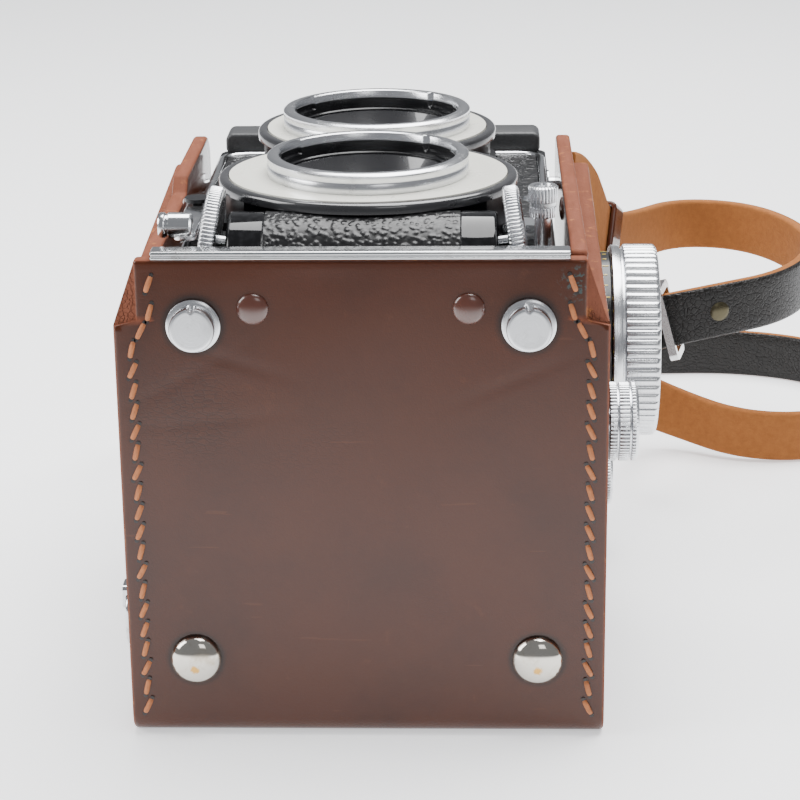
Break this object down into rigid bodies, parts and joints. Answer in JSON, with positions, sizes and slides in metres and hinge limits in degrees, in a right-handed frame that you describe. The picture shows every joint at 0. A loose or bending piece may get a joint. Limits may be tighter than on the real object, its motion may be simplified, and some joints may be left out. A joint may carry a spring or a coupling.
{
  "type": "twin lens reflex camera",
  "caption": "Folding-hood twin lens reflex camera lying on its back in a half leather case, lenses up, with focusing knob and neck strap; focuses, winds and opens its finder.",
  "frame": {"origin": "on the surface that the back of the case lies on, directly under the taking lens axis", "axes": "+Z out of the lenses along the taking lens axis, +Y from the base of the camera towards the finder hood, +X towards the focusing knob"},
  "size_m": [0.1524, 0.2088, 0.0899],
  "materials": {
    "case_leather": "smooth chestnut leather, polished",
    "rail_steel": "bright plated",
    "rivet_brown": "brown enamel",
    "nickel": "polished nickel, worn",
    "turned_aluminium": "satin, turned",
    "chrome_trim": "satin chrome",
    "body_black": "gloss black enamel",
    "hood_grey": "satin grey-black",
    "black_leatherette": "pebbled",
    "ivory_panel": "satin ivory enamel",
    "lens_glass": "coated",
    "ground_glass": "frosted",
    "mirror_glass": "front silvered",
    "blade_steel": "brushed",
    "shutter_brass": "machined",
    "spool_plastic": "moulded",
    "scale_black": "matte black",
    "strap_leather": "black grain side, tan suede side"
  },
  "bodies": {
    "camera_body": {"body_shell": "body_black", "camera_back": "body_black", "case_front_rail": "rail_steel", "case_liner_left": "case_leather", "case_liner_right": "case_leather", "case_rivets": "rivet_brown", "case_side_left": "case_leather", "case_side_right": "case_leather", "case_wrap": "case_leather", "depth_scale_ring": "scale_black", "film_gate": "body_black", "film_rollers": "blade_steel", "front_feet": "turned_aluminium", "front_leatherette": "black_leatherette", "front_trim": "chrome_trim", "ground_glass": "ground_glass", "hood_base": "hood_grey", "hood_pins": "blade_steel", "mirror": "mirror_glass", "name_block": "hood_grey", "pressure_plate": "blade_steel", "pressure_spring": "blade_steel", "rear_studs": "nickel", "ring_staple": "rail_steel", "strap": "strap_leather", "strap_lugs": "chrome_trim", "strap_ring": "rail_steel", "tripod_bush": "shutter_brass"},
    "front_standard": {"front_standard": "body_black", "panel_rim": "body_black", "lens_panel": "ivory_panel", "taking_bezel": "turned_aluminium", "viewing_bezel": "turned_aluminium", "taking_barrel": "body_black", "viewing_barrel": "body_black", "taking_front_glass": "lens_glass", "viewing_front_glass": "lens_glass", "rear_glasses": "lens_glass", "shutter_housing": "shutter_brass", "shutter_blades": "blade_steel", "aperture_blades": "blade_steel", "drum_housing": "body_black", "flash_terminal": "turned_aluminium"},
    "focus_knob": {"focus_knob": "turned_aluminium"},
    "speed_wheel": {"speed_wheel": "turned_aluminium"},
    "aperture_wheel": {"aperture_wheel": "turned_aluminium"},
    "release_lever": {"release_lever": "chrome_trim"},
    "sync_lever": {"sync_lever": "chrome_trim"},
    "supply_knob": {"supply_knob": "turned_aluminium"},
    "takeup_knob": {"takeup_knob": "turned_aluminium"},
    "supply_spool": {"supply_spool": "spool_plastic"},
    "wind_knob": {"wind_knob": "turned_aluminium", "takeup_spool": "spool_plastic"},
    "hood_lid": {"hood_lid": "hood_grey"},
    "hood_right": {"hood_right": "hood_grey"},
    "hood_left": {"hood_left": "hood_grey"},
    "hood_rear": {"hood_rear": "hood_grey"},
    "magnifier": {"magnifier_frame": "blade_steel", "magnifier_lens": "lens_glass"},
    "case_ring": {"case_ring": "rail_steel"}
  },
  "joints": [
    {"name": "focus_slide", "type": "slide", "parent": "camera_body", "child": "front_standard", "axis": [0, 0, 1], "range_m": [0, 0.005]},
    {"name": "focus_turn", "type": "hinge", "parent": "camera_body", "child": "focus_knob", "pos_m": [0.0404, 0.0132, 0.0535], "axis": [1, 0, 0], "range_deg": [0, 270]},
    {"name": "speed_turn", "type": "hinge", "parent": "front_standard", "child": "speed_wheel", "pos_m": [-0.0242, -0.0186, 0.08], "axis": [-0.9877, 0, 0.1564], "range_deg": [-130, 130]},
    {"name": "aperture_turn", "type": "hinge", "parent": "front_standard", "child": "aperture_wheel", "pos_m": [0.0242, -0.0186, 0.08], "axis": [0.9877, 0, 0.1564], "range_deg": [-60, 60]},
    {"name": "release_swing", "type": "hinge", "parent": "front_standard", "child": "release_lever", "pos_m": [-0.0278, -0.0034, 0.0815], "axis": [0, 0, 1], "range_deg": [-8, 0], "stiffness_Nm_per_rad": 0.02},
    {"name": "sync_swing", "type": "hinge", "parent": "front_standard", "child": "sync_lever", "pos_m": [0.0282, -0.0156, 0.085], "axis": [0, 0, 1], "range_deg": [-30, 0]},
    {"name": "supply_pull", "type": "slide", "parent": "camera_body", "child": "supply_knob", "axis": [1, 0, 0], "range_m": [0, 0.004], "stiffness_N_per_m": 150},
    {"name": "takeup_pull", "type": "slide", "parent": "camera_body", "child": "takeup_knob", "axis": [1, 0, 0], "range_m": [0, 0.004], "stiffness_N_per_m": 150},
    {"name": "supply_spin", "type": "hinge", "parent": "camera_body", "child": "supply_spool", "pos_m": [0, -0.019, 0.0498], "axis": [1, 0, 0], "continuous": true},
    {"name": "wind_turn", "type": "hinge", "parent": "camera_body", "child": "wind_knob", "pos_m": [-0.041, 0.0495, 0.015], "axis": [1, 0, 0], "continuous": true},
    {"name": "lid_open", "type": "hinge", "parent": "camera_body", "child": "hood_lid", "pos_m": [0, 0.0705, 0.0732], "axis": [1, 0, 0], "range_deg": [0, 90]},
    {"name": "hood_right_open", "type": "hinge", "parent": "camera_body", "child": "hood_right", "pos_m": [0.028, 0.0678, 0.04125], "axis": [0, 0, -1], "range_deg": [0, 90]},
    {"name": "hood_left_open", "type": "hinge", "parent": "camera_body", "child": "hood_left", "pos_m": [-0.028, 0.0678, 0.04125], "axis": [0, 0, 1], "range_deg": [0, 90]},
    {"name": "hood_rear_open", "type": "hinge", "parent": "camera_body", "child": "hood_rear", "pos_m": [0, 0.0678, 0.012], "axis": [-1, 0, 0], "range_deg": [0, 90]},
    {"name": "magnifier_turn", "type": "hinge", "parent": "hood_lid", "child": "magnifier", "pos_m": [0, 0.0701, 0.0492], "axis": [-1, 0, 0], "range_deg": [0, 90]},
    {"name": "ring_swing", "type": "hinge", "parent": "camera_body", "child": "case_ring", "pos_m": [-0.0398, -0.0175, 0.019], "axis": [0, 1, 0], "range_deg": [0, 85]}
  ],
  "couplings": [
    {"joint": "focus_turn", "follows": "focus_slide", "rad_per_m": 942.48},
    {"joint": "hood_right_open", "follows": "lid_open", "ratio": 1},
    {"joint": "hood_left_open", "follows": "lid_open", "ratio": 1},
    {"joint": "hood_rear_open", "follows": "lid_open", "ratio": 1},
    {"joint": "magnifier_turn", "follows": "lid_open", "ratio": 1}
  ]
}
